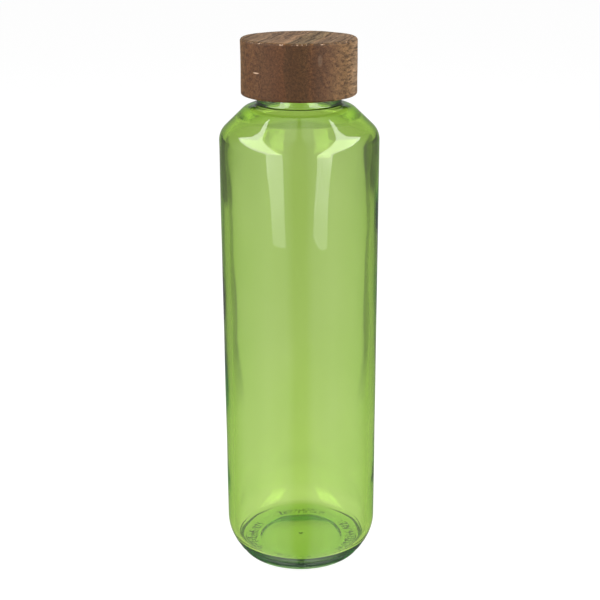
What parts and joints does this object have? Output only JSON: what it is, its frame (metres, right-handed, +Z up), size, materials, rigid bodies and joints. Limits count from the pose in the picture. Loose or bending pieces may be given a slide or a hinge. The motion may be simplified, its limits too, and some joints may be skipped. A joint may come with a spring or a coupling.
{
  "type": "glass water bottle",
  "caption": "Straight-sided green glass water bottle with a sloping shoulder, a rounded heel and a screw-on turned wooden cap with a threaded liner and a sealing washer.",
  "frame": {"origin": "middle of the base ring, on the plane that the bottle stands on", "axes": "+Z up along the bottle's axis, through the neck and the cap; X and Y are level, and the glass thread starts on +X"},
  "size_m": [0.07, 0.07, 0.2429],
  "materials": {
    "green_glass": "clear soda-lime glass with a transparent yellow-green coat outside, polished",
    "dark_wood": "fine-grained brown hardwood, turned, sanded and oiled, nearly matte",
    "white_plastic": "natural white moulded polypropylene, satin",
    "clear_silicone": "milky translucent silicone, matte"
  },
  "bodies": {
    "bottle": {"glass_body": "green_glass"},
    "washer": {"sealing_ring": "clear_silicone"},
    "cap": {"wood_cap": "dark_wood", "thread_insert": "white_plastic"}
  },
  "joints": [
    {"name": "cap_lift", "type": "slide", "parent": "bottle", "child": "washer", "axis": [0, 0, 1], "range_m": [0, 0.0254]},
    {"name": "cap_turn", "type": "hinge", "parent": "washer", "child": "cap", "pos_m": [0, 0, 0.226], "axis": [0, 0, 1], "range_deg": [0, 2160]}
  ],
  "couplings": [
    {"joint": "cap_turn", "follows": "cap_lift", "rad_per_m": 1484.2}
  ]
}
